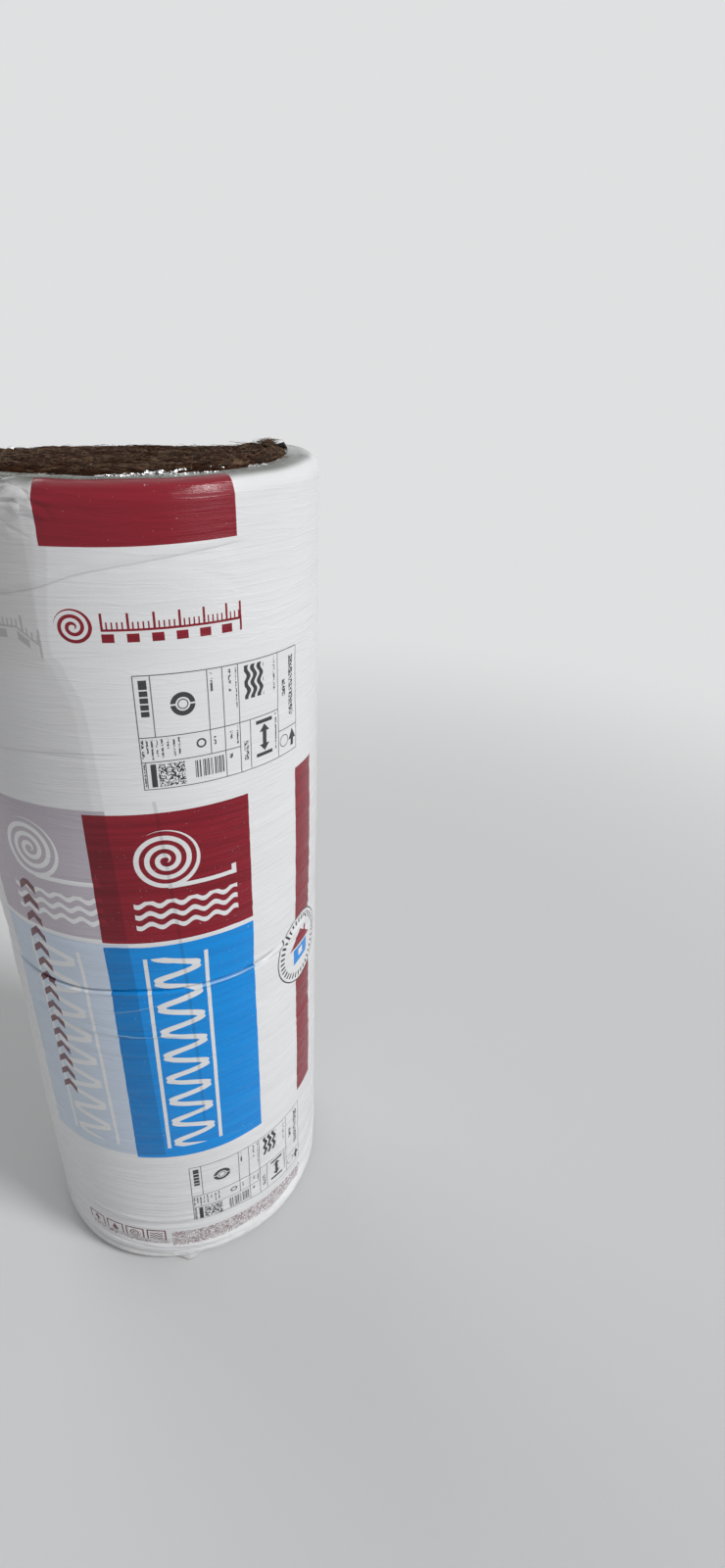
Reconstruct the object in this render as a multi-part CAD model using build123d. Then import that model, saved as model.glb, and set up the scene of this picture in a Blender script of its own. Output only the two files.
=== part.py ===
from build123d import *
import math
import os

# A pack of glass-wool insulation, standing on its end. Two mats, each faced with foil on one side, are
# wound into rolls as high as the mat is wide. The rolls stand end to end on one axis and share a film
# that is wrapped round them and turned in over both ends.
# Millimetres, +Z up, origin on the floor at the middle of the pack.

# Mat
mat_width = 600.0  # height of one roll
mat_length = 5000.0
eye_radius = 12.0  # hollow left in the middle of the winding
crown_rise = 5.0  # swell of each turn on the open end
groove_depth = 3.0  # between the turns on the end pressed to the floor
groove_half_width = 2.5

# Pack
pack_diameter = 455.0  # outside the film
film_wall = 0.5
facing_wall = 0.4
shoulder_radius = 20.0  # rounded edge of the film at both ends
film_rim = 20.0  # flat width of film turned in over each end, past the shoulder
facing_margin = 10.0  # how much further in the foil reaches than the film
waist_depth = 1.5  # the film is drawn in where the two rolls meet
waist_half_height = 60.0

pack_radius = pack_diameter / 2
skin_wall = film_wall + facing_wall
wool_radius = pack_radius - skin_wall
film_edge_radius = pack_radius - shoulder_radius - film_rim
facing_edge_radius = film_edge_radius - facing_margin
joint_height = mat_width  # the plane in which the two rolls meet

# The waist is an arc that leaves the side upright and meets its mirror image in the joint plane.
waist_start = joint_height - waist_half_height
waist_arc_radius = (waist_depth**2 + waist_half_height**2) / (2 * waist_depth)


def waist_point(depth, height):
    """Point of the waist's arc at a height, the given depth inside the pack's outer face."""
    reach = math.sqrt((waist_arc_radius - depth) ** 2 - (height - waist_start) ** 2)
    return (pack_radius - waist_arc_radius + reach, height)


def skin_path(depth, edge_radius):
    """Lower half of the pack's outline at a depth inside its outer face: across the foot from
    edge_radius, round the shoulder, up the side and along the waist to the joint plane."""
    bend_radius = shoulder_radius - depth
    bend_reach = bend_radius * math.sqrt(0.5)
    bend_centre = (pack_radius - shoulder_radius, shoulder_radius)
    foot_end = (bend_centre[0], depth)
    bend_middle = (bend_centre[0] + bend_reach, bend_centre[1] - bend_reach)
    side_start = (pack_radius - depth, shoulder_radius)
    side_end = (pack_radius - depth, waist_start)
    waist_middle = waist_point(depth, waist_start + waist_half_height / 2)
    waist_end = waist_point(depth, joint_height)
    return [
        Line((edge_radius, depth), foot_end),
        ThreePointArc(foot_end, bend_middle, side_start),
        Line(side_start, side_end),
        ThreePointArc(side_end, waist_middle, waist_end),
    ]


def revolved(edges):
    """Solid turned from a closed outline drawn as (radius, height)."""
    return revolve(Plane.XZ * make_face(edges), axis=Axis.Z)


def skin(outer_depth, inner_depth, edge_radius):
    """Lower half of a thin layer of the pack, between two depths."""
    foot = Line((edge_radius, outer_depth), (edge_radius, inner_depth))
    joint = Line(
        waist_point(outer_depth, joint_height), waist_point(inner_depth, joint_height)
    )
    outer = skin_path(outer_depth, edge_radius)
    inner = skin_path(inner_depth, edge_radius)
    return revolved(outer + inner + [foot, joint])


def turn_edges():
    """Radii where one turn of the mat meets the next, from the eye out to the foil's edge. The mat's
    length fills the roll's section, which gives the thickness of a pressed turn."""
    section = math.pi * (wool_radius**2 - eye_radius**2)
    pressed_thickness = section / mat_length
    turns = round((wool_radius - eye_radius) / pressed_thickness)
    pitch = (wool_radius - eye_radius) / turns
    radii = [eye_radius + pitch * turn for turn in range(turns)]
    return [radius for radius in radii if radius < facing_edge_radius - 2 * groove_half_width]


def pressed_end():
    """Outline of the end on the floor: flat turns with a groove between each two."""
    edges = []
    place = (eye_radius, 0)
    for radius in turn_edges()[1:]:
        near = (radius - groove_half_width, 0)
        valley = (radius, groove_depth)
        far = (radius + groove_half_width, 0)
        edges += [Line(place, near), Line(near, valley), Line(valley, far)]
        place = far
    return edges + [Line(place, (facing_edge_radius, 0))]


def open_end():
    """Outline of the end that shows, drawn facing down: each turn swells past the foil's edge."""
    stops = turn_edges() + [facing_edge_radius]
    return [
        ThreePointArc((inner, 0), ((inner + outer) / 2, -crown_rise), (outer, 0))
        for inner, outer in zip(stops, stops[1:])
    ]


def wool_roll(end_outline):
    """One wound mat standing below the joint plane, with the given outline on its lower end."""
    step = Line((facing_edge_radius, 0), (facing_edge_radius, skin_wall))
    side = skin_path(skin_wall, facing_edge_radius)
    top = Line(waist_point(skin_wall, joint_height), (eye_radius, joint_height))
    eye = Line((eye_radius, joint_height), (eye_radius, 0))
    return revolved(end_outline + [step] + side + [top, eye])


def above(lower):
    """The same piece turned over, standing on the joint plane."""
    return mirror(lower, about=Plane.XY.offset(joint_height))


facing = skin(film_wall, skin_wall, facing_edge_radius)
film_half = skin(0, film_wall, film_edge_radius)
pieces = {
    "wool_roll_lower": wool_roll(pressed_end()),
    "wool_roll_upper": above(wool_roll(open_end())),
    "foil_facing_lower": facing,
    "foil_facing_upper": above(facing),
    "film_wrap": film_half + above(film_half),
}

os.makedirs("parts", exist_ok=True)
for name, piece in pieces.items():
    piece.label = name
    export_step(piece, f"parts/{name}.step")
    print(f"{name}: {piece.volume / 1e6:.3f} litres, valid {piece.is_valid}")
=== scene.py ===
import math
import bmesh
import bpy
import numpy as np
from mathutils import Matrix, Vector


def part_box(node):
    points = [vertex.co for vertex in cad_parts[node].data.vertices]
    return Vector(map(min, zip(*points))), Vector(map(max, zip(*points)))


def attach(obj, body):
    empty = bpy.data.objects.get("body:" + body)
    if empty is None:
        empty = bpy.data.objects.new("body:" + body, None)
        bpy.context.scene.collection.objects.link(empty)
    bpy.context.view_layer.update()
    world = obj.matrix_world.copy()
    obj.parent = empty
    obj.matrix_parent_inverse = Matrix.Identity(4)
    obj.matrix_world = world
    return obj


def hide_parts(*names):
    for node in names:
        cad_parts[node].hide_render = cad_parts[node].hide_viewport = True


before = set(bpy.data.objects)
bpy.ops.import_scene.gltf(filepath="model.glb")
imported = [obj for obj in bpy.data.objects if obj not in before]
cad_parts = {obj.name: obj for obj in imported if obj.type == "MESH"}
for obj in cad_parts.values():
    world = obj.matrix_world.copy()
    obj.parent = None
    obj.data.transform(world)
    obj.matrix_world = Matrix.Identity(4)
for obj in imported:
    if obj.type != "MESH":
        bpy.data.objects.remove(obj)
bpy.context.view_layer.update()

# Shapes are worked out in millimetres and by the angle round the roll: 0 faces -Y, positive turns
# towards +X. Arc is the angle times the roll's radius, so the front of the roll is a flat sheet of
# arc and height, on which creases and print are placed.
mm = 0.001
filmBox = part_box("film_wrap")
roll = {
    "radius": filmBox[1].x / mm,
    "height": filmBox[1].z / mm,
    "shoulder": 20.0,
    "eye": 12.0,
    "turns": 7,
    "skin": 1.0,  # film and foil outside the outermost turn
}
roll["girth"] = 2 * math.pi * roll["radius"]
roll["pitch"] = (roll["radius"] - roll["skin"] - roll["eye"]) / roll["turns"]
roll["bend"] = roll["shoulder"] * math.pi / 2  # length of the shoulder's quarter arc
roll["side"] = roll["height"] - 2 * roll["shoulder"]


# Smoothstep: 0 below low, 1 above high.
def smooth(low, high, value):
    share = np.clip((value - low) / (high - low), 0, 1)
    return share * share * (3 - 2 * share)


# Gaussian bell: 1 at the middle, falling off over the width.
def bell(value, middle, width):
    return np.exp(-(((value - middle) / width) ** 2))


# Straight blend: the first at share 0, the second at share 1.
def blend(first, second, share):
    return first * (1 - share) + second * share


# Smooth noise from -1 to 1: random numbers on a grid that repeats after so many columns, blended by the
# smoothstep of the place between them. across runs from 0 to 1 round the roll, up counts rows.
def lattice(across, up, columns, seed):
    rows = 256
    firstRow = 90
    table = np.random.default_rng(seed).uniform(-1, 1, (rows, columns))
    x = across * columns
    y = up + firstRow
    column = np.floor(x).astype(int)
    row = np.floor(y).astype(int)
    between = smooth(0, 1, x - column)
    left = column % columns
    right = (column + 1) % columns
    low = blend(table[row % rows, left], table[row % rows, right], between)
    high = blend(table[(row + 1) % rows, left], table[(row + 1) % rows, right], between)
    return blend(low, high, smooth(0, 1, y - row))


# Sum of layers of noise, each given by its size, the height of its rows, its columns and its seed.
def layered(across, up, layers, seed=0):
    return sum(size * lattice(across, up / row, columns, seed + own) for size, row, columns, own in layers)


# Point at an angle round the axis: (radius sin angle, -radius cos angle, height).
def ringPoints(angle, radius, height):
    return np.stack(np.broadcast_arrays(radius * np.sin(angle), -radius * np.cos(angle), height), -1)


# Angles of the columns of a closed ring, with one more column on the seam at the back.
def ringAngles(columns):
    return (-math.pi + np.arange(columns + 1) * 2 * math.pi / columns)[None, :]


# How far the rounded shoulder has fallen below the end: its radius less the root of that radius squared
# less the reach past the flat squared.
def shoulderFall(radius):
    bend = roll["shoulder"]
    reach = np.clip(radius - (roll["radius"] - bend), 0, bend - 1)
    return bend - np.sqrt(bend**2 - reach**2)


def linked(name, data):
    made = bpy.data.objects.new(name, data)
    bpy.context.scene.collection.objects.link(made)
    return made


# Mesh from points[row, column]. A closed ring's last column lies on its first, and a shell's last row is
# joined to its first. sheet is the flat place in millimetres, which runs on over both seams.
def gridMesh(name, points, shell=True, ring=True, sheet=None, flip=False, flat=False):
    points = points[:, :-1] if ring else points
    rows, columns = points.shape[:2]
    i, j = np.indices((rows if shell else rows - 1, columns if ring else columns - 1))
    around = [(i, j), (i, j + 1), (i + 1, j + 1), (i + 1, j)]
    if flip:
        around = around[::-1]
    faces = np.stack([(a % rows) * columns + b % columns for a, b in around], -1).reshape(-1, 4)
    mesh = bpy.data.meshes.new(name)
    mesh.vertices.add(rows * columns)
    mesh.vertices.foreach_set("co", (points.reshape(-1) * mm).astype(np.float32))
    mesh.loops.add(faces.size)
    mesh.loops.foreach_set("vertex_index", faces.reshape(-1).astype(np.int32))
    mesh.polygons.add(len(faces))
    mesh.polygons.foreach_set("loop_start", np.arange(0, faces.size, 4, dtype=np.int32))
    mesh.polygons.foreach_set("use_smooth", np.full(len(faces), not flat))
    if sheet is not None:
        layer = mesh.uv_layers.new(name="flat")
        placed = np.stack([sheet[a % rows, b] for a, b in around], -2).reshape(-1)
        layer.data.foreach_set("uv", (placed * mm).astype(np.float32))
    mesh.update(calc_edges=True)
    mesh.validate()
    return linked(name, mesh)


def joined(name, pieces):
    with bpy.context.temp_override(active_object=pieces[0], selected_editable_objects=pieces):
        bpy.ops.object.join()
    pieces[0].name = name
    pieces[0].data.name = name
    return pieces[0]


# The top end isn't level: it rises towards the right, and the film's edge on it is uneven.
topEnd = {
    "lift": 14.5,
    "liftAngle": 97.0,
    "spread": (50.0, 38.0),  # towards the front and the back
    "tilt": 4.0,
    "sink": 2.5,
    "wave": 1.4,
    "settled": 4.5,  # how far the wool has sunk at the back
    "lump": 4.0,  # torn wool standing up at the right
    "lumpAngle": 106.0,
    "lumpRadius": 170.0,
    "liftFrom": 1000.0,  # the film's side starts to rise at this height
    "rimWidth": (27.0, 38.0),  # of the film on the end, at the left and the right
    "rimWave": 2.6,
    "rimRipples": ((1.8, 1, 41, 12), (0.8, 1, 118, 13)),
}


# Rise of the top end: a tilt towards one side, a bell round that side, wider towards the front, and a long
# wave, all growing with the square of the radius.
def topLift(angle, radius):
    away = (np.degrees(angle) - topEnd["liftAngle"] + 180) % 360 - 180
    spread = np.where(away < 0, *topEnd["spread"])
    tilt = topEnd["tilt"] * np.cos(np.radians(away)) - topEnd["sink"]
    wave = topEnd["wave"] * lattice(angle / (2 * math.pi), 0, 11, 5)
    return (tilt + topEnd["lift"] * bell(away, 0, spread) + wave) * (radius / roll["radius"]) ** 2


# Where the wool itself is lower or higher than that: sunk towards the back, and a round lump.
def woolSettled(angle, radius):
    back = smooth(-0.25, 0.7, -np.cos(angle) * radius / roll["radius"])
    lump = bell(np.degrees(angle), topEnd["lumpAngle"], 18) * bell(radius, topEnd["lumpRadius"], 26)
    return topEnd["lump"] * lump - topEnd["settled"] * back


# Radius of the film's edge on the top end: the side's radius less a width that grows to the right, with
# uneven waves from coarse to fine.
def rimEdge(angle):
    across = angle / (2 * math.pi)
    share = smooth(-0.5, 0.9, np.sin(angle))
    width = blend(*topEnd["rimWidth"], share) + topEnd["rimWave"] * lattice(across, 0, 9, 11) * (1.3 - share)
    return roll["radius"] - width - layered(across, 0, topEnd["rimRipples"])


# Film

film = {
    "columns": 236,
    "sideRows": 268,
    "denseRows": ((22.0, 70.0, 20), (566.0, 608.0, 50)),  # extra rows from one height to another
    "rimRows": 9,
    "bendRows": 14,
    "innerRows": 24,
    "innerGap": 6.0,
    "wall": 0.35,
    "waist": 1.5,
    "waistHalf": 60.0,
    # Relief as layers of noise, from broad dents to fine hoops
    "dents": ((1.3, 260, 6, 21), (0.6, 75, 15, 22)),
    "hoops": ((0.62, 11, 12, 24), (0.34, 6.5, 22, 25)),
    "lowHoops": ((0.7, 9.5, 8, 37),),
    "footFolds": ((2.56, 13, 9, 28), (1.6, 8, 17, 29)),
    "headFolds": ((0.8, 11, 26, 30), (0.4, 6, 60, 32)),
    "tension": 1.1,  # depth of the sharp line where a hoop is tightest
    "calmed": 0.45,  # how much weaker the hoops are towards the head
    "crumples": 5.2,
    "crumpleArc": -134.0,
    "crumpleDrop": 19.0,  # below the head
    "onEnd": 0.65,  # how much weaker the relief is on the ends
    "curl": 1.6,
    "lowerRim": 40.0,
    "flat": (1.43, 1.27),
}

# Creases run round the roll. Each has the depth of its groove, or of a ridge where it is negative, and its
# width, how far beside it a wider swell lies and that swell's size, how strongly the material paints it as
# a line, with painted shade where that is positive and a painted highlight where it is negative, and then
# the places it runs through, as arc and height.
creases = (
    (2.9, 1.6, -5.0, 1.6, 1.0, (-330, 595), (-190, 588), (-121, 589), (-94, 591.5), (-65, 592), (-15, 589.5),
     (20, 589), (71, 589), (110, 590), (150, 594), (260, 598)),
    (-1.5, 1.3, -4.0, -0.6, -1.0, (8, 586), (28, 586.4), (71, 586), (91, 586.4), (115, 585), (140, 582)),
    (-1.9, 1.8, -6.0, -1.2, -0.7, (-300, 530), (-245, 524), (-170, 520), (-134, 517), (-100, 515.6),
     (-74, 514), (-27, 510.5), (0, 508)),
    (-0.8, 1.6, 4.5, 0.6, -0.35, (-230, 542), (-160, 546), (-133, 549), (-99, 555), (-69, 560), (-44, 566),
     (-20, 572)),
    (-3.4, 2.4, -9.0, -2.6, -0.4, (-330, 116), (-240, 113), (-120, 110), (-40, 109), (20, 112), (120, 116)),
    (-2.2, 2.2, -7.0, -1.5, -0.5, (-240, 36), (-160, 32), (-60, 29), (40, 25), (140, 28), (230, 34)),
    (1.6, 1.8, 5.0, 0.8, 0.5, (-230, 46), (-150, 43), (-50, 39), (60, 35), (150, 36), (220, 42)),
    (1.2, 1.6, 5.0, 0.6, 0.4, (-240, 1082), (-175, 1089), (-141, 1093), (-104, 1100.5), (-88, 1106),
     (-72, 1112), (-55, 1117), (-39, 1120.5), (-13, 1125), (33, 1131.5), (80, 1136), (120, 1139)),
    (1.1, 1.6, 4.0, 0.6, 0.35, (-230, 915), (-165, 922), (-70, 926), (-20, 924)),
    (0.9, 2.0, -6.0, 0.6, 0, (-250, 668), (-150, 669), (-92, 667), (-50, 664)),
    (0.6, 1.6, 4.0, 0.4, 0, (40, 1042), (120, 1051), (200, 1049), (300, 1060)),
    (1.7, 2.2, -8.0, 1.2, 0.5, (330, 598), (430, 602), (560, 594), (680, 600)),
    (1.6, 2.2, 8.0, 1.1, 0.5, (-690, 600), (-560, 592), (-470, 588), (-380, 594)),
    (-1.8, 2.4, -9.0, -1.4, 0, (-620, 96), (-500, 104), (-380, 108), (-290, 112)),
    (-1.6, 2.4, -9.0, -1.3, 0, (180, 104), (330, 112), (450, 108), (620, 98)),
    (0.9, 1.6, 5.0, 0.5, 0, (300, 1120), (420, 1108), (520, 1112), (640, 1096)),
    (0.8, 1.5, 5.0, 0.5, 0, (-700, 842), (-560, 850), (-450, 835), (-330, 828)),
    (0.8, 1.6, -5.0, 0.5, 0, (260, 330), (380, 342), (520, 335), (660, 352)),
)

# Film gathered into a pointed tail at the foot, and a torn corner standing at the inner edge of the rim.
filmTail = {"arc": -36.3, "width": 10.0, "reach": 19.0, "height": 15.0}
filmCorner = {"arc": 338.0, "widths": (62.0, 95.0), "rise": 9.0, "length": 14.0}


# Sum over the creases of a bell-shaped groove on each path and a wider swell beside it, both fading out at
# the path's ends.
def creaseRelief(arc, height):
    relief = np.zeros_like(arc)
    wander = 0.8 * lattice(arc / roll["girth"], 0, 40, 31)
    for depth, width, beside, swell, _, *places in creases:
        arcs, heights = np.array(places, float).T
        away = height - np.interp(arc, arcs, heights) - wander
        fade = smooth(arcs[0], arcs[1], arc) * (1 - smooth(arcs[-2], arcs[-1], arc))
        relief += fade * (swell * bell(away, beside, abs(beside) * 0.5) - depth * bell(away, 0, width))
    return relief


# Slanted folds at the left of the head: less the size of two noises that run across the slant, within a
# bell of arc and height.
def crumpleRelief(arc, height):
    across = arc / roll["girth"]
    within = bell(arc, film["crumpleArc"], 38) * bell(height, roll["height"] - film["crumpleDrop"], 22)
    slanted = (height - 0.45 * arc) / 11
    folded = 0.8 - 1.8 * np.abs(lattice(across, slanted, 44, 33))
    folded = folded + 0.4 - 0.9 * np.abs(lattice(across, slanted * 2, 100, 34))
    return film["crumples"] * within * folded


# Film drawn out to a point at the foot: falls off evenly to both sides of its arc, and above its height.
def tailRelief(arc, height):
    point = np.exp(-np.abs(arc - filmTail["arc"]) / filmTail["width"])
    ragged = 2.0 * lattice(arc / roll["girth"], height / 6, 190, 35)
    return point * smooth(filmTail["height"], -2, height) * (filmTail["reach"] + ragged)


# How far the film stands out: broad dents, hoops of tension round the roll in patches with a sharp line
# where they are tightest, creases, folds near the foot and the head, crumples and the tail.
def filmRelief(arc, height):
    across = arc / roll["girth"]
    calm = 1 - film["calmed"] * smooth(700, 1000, height)
    patch = (0.6 + 0.4 * lattice(across, height / 120, 9, 23)) * calm
    path = height / 17 + 2.5 * lattice(across, height / 200, 7, 26)
    tight = np.clip(1 - 7 * np.abs(lattice(across, path, 9, 27)), 0, 1)
    foot = smooth(95, 30, height) * smooth(-25, 8, height)
    head = smooth(roll["height"] - 60, roll["height"] - 5, height)
    relief = layered(across, height, film["dents"])
    relief += patch * (layered(across, height, film["hoops"]) - film["tension"] * tight)
    relief += smooth(330, 140, height) * layered(across, height, film["lowHoops"])
    relief += foot * layered(across, height, film["footFolds"])
    relief += head * layered(across, height, film["headFolds"])
    return relief + crumpleRelief(arc, height) + tailRelief(arc, height) + creaseRelief(arc, height)


# How far the film's free edge stands up: a torn corner that falls off to both sides, and small curls at
# the front, both growing with the square of the nearness to the edge.
def edgeRise(arc, flatHeight):
    fromCorner = arc - filmCorner["arc"]
    reach = np.where(fromCorner < 0, *filmCorner["widths"])
    corner = np.clip(1 - np.abs(fromCorner) / reach, 0, 1) ** 1.4
    curl = np.clip(lattice(arc / roll["girth"], 0, 64, 36), 0, 1) * bell(arc, -70, 110)
    near = np.clip((flatHeight - flatHeight[-1:]) / filmCorner["length"] + 1, 0, 1)
    return near * near * (filmCorner["rise"] * corner + film["curl"] * curl)


# The film's outline from the inner edge of the lower rim up to that of the upper one: flat rim, quarter
# arc of the shoulder, straight side drawn in at the waist, shoulder, flat rim. Gives the radius, the
# height and the outward direction at a distance along it, the given gap inside the outer face.
def filmProfile(along, lowRim, topRim, gap):
    shoulder = roll["shoulder"]
    upper = along > lowRim + roll["bend"] + roll["side"] / 2
    rim = np.where(upper, topRim, lowRim)
    total = lowRim + roll["side"] + 2 * roll["bend"] + topRim
    reached = np.where(upper, total - along, along)
    turned = np.clip((reached - rim) / shoulder, 0, math.pi / 2)
    radial = np.sin(turned)
    radius = roll["radius"] - shoulder + shoulder * radial - np.clip(rim - reached, 0, None)
    height = shoulder - shoulder * np.cos(turned) + np.clip(reached - rim - roll["bend"], 0, None)
    drawnIn = np.clip(1 - (roll["height"] / 2 - height) / film["waistHalf"], 0, 1) ** 2
    radius = radius - film["waist"] * drawnIn - gap * radial
    height = height + gap * np.cos(turned)
    height = np.where(upper, roll["height"] - height, height)
    return radius, height, radial, np.where(upper, 1, -1) * np.cos(turned)


# All points of the film for these shares of the five stretches of its outline, and their place on the
# flat sheet, whose height is the real one along the straight side.
def filmSurface(stretches, gap, relief):
    angle = ringAngles(film["columns"])
    topRim = roll["radius"] - rimEdge(angle) - roll["shoulder"]
    lowRim = film["lowerRim"] + 2.0 * lattice(angle / (2 * math.pi), 0, 31, 14) - roll["shoulder"]
    lengths = [lowRim, roll["bend"], roll["side"], roll["bend"], topRim]
    along = np.concatenate([
        sum(lengths[:part]) + shares[:, None] * lengths[part] + 0 * angle
        for part, shares in enumerate(stretches)
    ])
    radius, height, radial, up = filmProfile(along, lowRim, topRim, gap)
    arc = angle * roll["radius"] + 0 * along
    flatHeight = along - lowRim - roll["bend"] + roll["shoulder"]
    if relief:
        onEnd = np.maximum(-flatHeight, flatHeight - roll["height"] - roll["bend"] + roll["shoulder"])
        out = filmRelief(arc, flatHeight) * (1 - film["onEnd"] * smooth(0, 20, onEnd))
        overFloor = 1.5 + 6 * radial + 4 * radial * radial
        out = np.where(up < -0.2, np.minimum(out, overFloor), out)
        radius = radius + radial * out
        height = height + edgeRise(arc, flatHeight) + up * out
    rising = smooth(topEnd["liftFrom"], roll["height"] - 8, height)
    height = height + topLift(angle, np.minimum(radius, roll["radius"])) * rising
    return ringPoints(angle, radius, np.maximum(height, 0.1)), np.stack([arc, flatHeight], -1)


# Closed shell: the outer face, and well inside it an inner face with few rows, which comes up to the
# outer one at the free edges of both rims.
def buildFilm():
    rim = np.linspace(0, 1, film["rimRows"])
    bend = np.linspace(0, 1, film["bendRows"], endpoint=False)
    dense = [(np.linspace(*band) - roll["shoulder"]) / roll["side"] for band in film["denseRows"]]
    side = np.sort(np.concatenate([np.linspace(0, 1, film["sideRows"], endpoint=False), *dense]))
    few = np.array([0.3, 0.8])
    innerSide = np.linspace(0.02, 0.98, film["innerRows"])
    outer, outerSheet = filmSurface([rim[:-1], bend, side, bend, rim], 0.0, True)
    inner, innerSheet = filmSurface([few, few, innerSide, few, few], film["innerGap"], False)
    for row, source, drop in ((0, 0, 1), (1, 3, 2), (-1, -1, -1), (-2, -4, -2)):
        inner[row] = outer[source] + np.array([0, 0, drop * film["wall"]])
    points = np.concatenate([outer, inner[::-1]])
    return gridMesh("filmWrap", points, sheet=np.concatenate([outerSheet, innerSheet[::-1]]))


print("building the film")
filmWrap = buildFilm()

# Glass wool

wool = {
    "columns": 430,
    "radialStep": 1.15,
    "crown": 4.5,
    "groove": 8.5,
    "grooveWidth": 2.4,
    "lumps": ((1.8, 30, 13, 5),),
    "layers": ((2.8, 9, 34, 1), (2.1, 4.2, 90, 2), (1.1, 2.1, 200, 3)),  # of fibre, from coarse to fine
    "pits": 9.0,
    "underRim": 3.5,
    "sideGap": 8.5,
    "endGap": 4.0,
    "pressed": 0.8,
    "eyeDepth": 60.0,
    "baseWidth": 30.0,
    "sheetArc": 110.0,  # radius at which the winding is unrolled for the material
}


# The end of the wound mat: each turn crowned, with a groove where the winding passes from one turn to the
# next, lumps, and layers of fibre along the turns, with torn pits.
def woolRelief(angle, radius, seed):
    across = angle / (2 * math.pi)
    place = (radius - roll["eye"]) / roll["pitch"] - across
    turn = np.floor(place)
    share = place - turn
    swell = 0.75 + 0.45 * lattice(across, turn * 3.7, 7, seed)
    crown = wool["crown"] * swell * np.maximum(1 - (2 * share - 1) ** 2, 0) ** 0.7
    groove = wool["groove"] * bell(np.minimum(share, 1 - share) * roll["pitch"], 0, wool["grooveWidth"])
    pit = np.clip(lattice(across, radius / 7, 60, seed + 4) - 0.42, 0, 1)
    near = np.clip(radius / roll["radius"], 0.15, 1)
    torn = layered(across, radius, wool["layers"], seed) * near - wool["pits"] * pit
    return crown - groove + layered(across, radius, wool["lumps"], seed) + torn


# Height of the upper mat's end: the relief inside the film's rim, pressed down under the rim and bent
# with the shoulder.
def woolTop(angle, radius):
    under = smooth(-4, 5, radius - rimEdge(angle))
    height = roll["height"] + woolRelief(angle, radius, 50) * (1 - under) - wool["underRim"] * under
    return height - shoulderFall(radius) + topLift(angle, radius) + woolSettled(angle, radius)


# Height of the lower mat's end: the same, with its crowns pressed flat on the floor.
def woolFoot(angle, radius):
    under = smooth(-4, 5, radius - (roll["radius"] - film["lowerRim"]))
    pressed = np.minimum(woolRelief(angle, radius, 70) - 1.5, 0) * wool["pressed"]
    return 0.3 - pressed * (1 - under) + wool["underRim"] * under + shoulderFall(radius)


# Closed ring of one mat: up the eye, out over the end, down the side and back in across the joint. The
# lower mat is the same turned over.
def buildWool(name, top):
    angle = ringAngles(wool["columns"])
    half = roll["height"] / 2
    inward = 1 if top else -1
    outer = roll["radius"] - wool["sideGap"]
    last = outer - wool["endGap"]
    count = round((last - roll["eye"]) / wool["radialStep"])
    radius = np.linspace(roll["eye"] + 1.5, last, count)[:, None] + 0 * angle
    height = woolTop(angle, radius) if top else woolFoot(angle, radius)
    depth = np.linspace(wool["eyeDepth"], 6, 6)[:, None]
    eyeRadius = roll["eye"] + 0.8 * lattice(angle / (2 * math.pi), depth / 12, 12, 56)
    eyeHeight = height[:1] - inward * depth
    sideHeight = blend(height[-1:] - inward * 6, half, np.linspace(0, 1, 5)[:, None])
    baseRadius = np.linspace(outer - wool["baseWidth"], 1.0, 4)[:, None] + 0 * angle
    stretches = (
        (1.0 + 0 * angle, eyeHeight[:1] - inward * 4),
        (eyeRadius[:1], eyeHeight[:1] - inward * 3),
        (eyeRadius, eyeHeight),
        (radius, height),
        (outer + 0 * sideHeight, sideHeight),
        (baseRadius, half + 0 * baseRadius),
    )
    radii, heights = (np.concatenate(column) for column in zip(*stretches))
    end = roll["height"] if top else 0
    sheet = np.stack([angle * wool["sheetArc"] + 0 * radii, radii + 0.6 * np.abs(heights - end)], -1)
    return gridMesh(name, ringPoints(angle, radii, heights), sheet=sheet, flip=top)


print("building the glass wool")
woolUpper = buildWool("woolRollUpper", True)
woolLower = buildWool("woolRollLower", False)

fibres = {
    "count": 3000,
    "tufted": 900,
    "tufts": 14,
    "tuftAngles": (0.55, 1.9),
    "reach": 189.0,
    "steps": 6,
    "length": (6.0, 30.0),
    "thickness": 0.32,
    "bend": 0.22,
    "curl": 0.5,
}


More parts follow.
